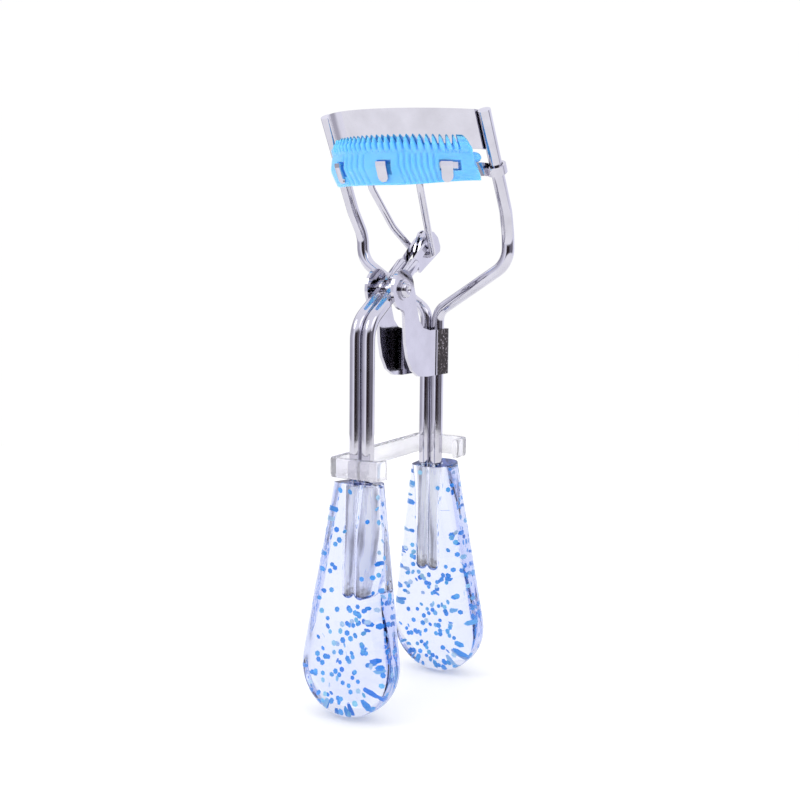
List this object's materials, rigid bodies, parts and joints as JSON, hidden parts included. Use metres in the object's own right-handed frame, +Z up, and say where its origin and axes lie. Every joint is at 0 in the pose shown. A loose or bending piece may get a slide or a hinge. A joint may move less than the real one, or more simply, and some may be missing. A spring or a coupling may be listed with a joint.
{
  "type": "eyelash curler",
  "caption": "Chromed wire-frame eyelash curler with a blue silicone comb pad, clear glitter paddle handles and a clear retaining clip.",
  "frame": {"origin": "middle of the bounding box's underside, below the ends of the two handles", "axes": "+Z up along the handles to the jaw, +X along the pivot rivet across the jaw, +Y from the lever handle to the fixed handle"},
  "size_m": [0.0372, 0.0398, 0.11],
  "materials": {
    "chrome": "polished",
    "blue_silicone": "satin",
    "clear_acrylic": "clear gloss",
    "adhesive": "cloudy clear",
    "clear_soft_plastic": "frosted clear"
  },
  "bodies": {
    "frame": {"frame_wire_left": "chrome", "frame_wire_right": "chrome", "upper_plate": "chrome", "pivot_bracket": "chrome", "pivot_rivet": "chrome", "pivot_washer_left": "chrome", "pivot_washer_right": "chrome", "rear_handle": "clear_acrylic", "rear_adhesive": "adhesive"},
    "lever": {"lever_wire": "chrome", "front_handle": "clear_acrylic", "front_adhesive": "adhesive"},
    "jaw": {"moving_jaw": "chrome", "lash_pad": "blue_silicone", "yoke_wire_left": "chrome", "yoke_wire_right": "chrome", "yoke_saddle": "chrome"},
    "clip": {"retaining_clip": "clear_soft_plastic"}
  },
  "joints": [
    {"name": "lever_pivot", "type": "hinge", "parent": "frame", "child": "lever", "pos_m": [0, -0.00345, 0.07735], "axis": [1, 0, 0], "range_deg": [-26, 1.5], "deforming": ["retaining_clip"]},
    {"name": "jaw_slide", "type": "slide", "parent": "frame", "child": "jaw", "axis": [0, -0.471, 0.8821], "range_m": [-0.0072, 0.0005]},
    {"name": "clip_slide", "type": "slide", "parent": "lever", "child": "clip", "axis": [0, 0, 1], "range_m": [0, 0.012]}
  ],
  "couplings": [
    {"joint": "jaw_slide", "follows": "lever_pivot", "m_per_rad": 0.0154}
  ]
}
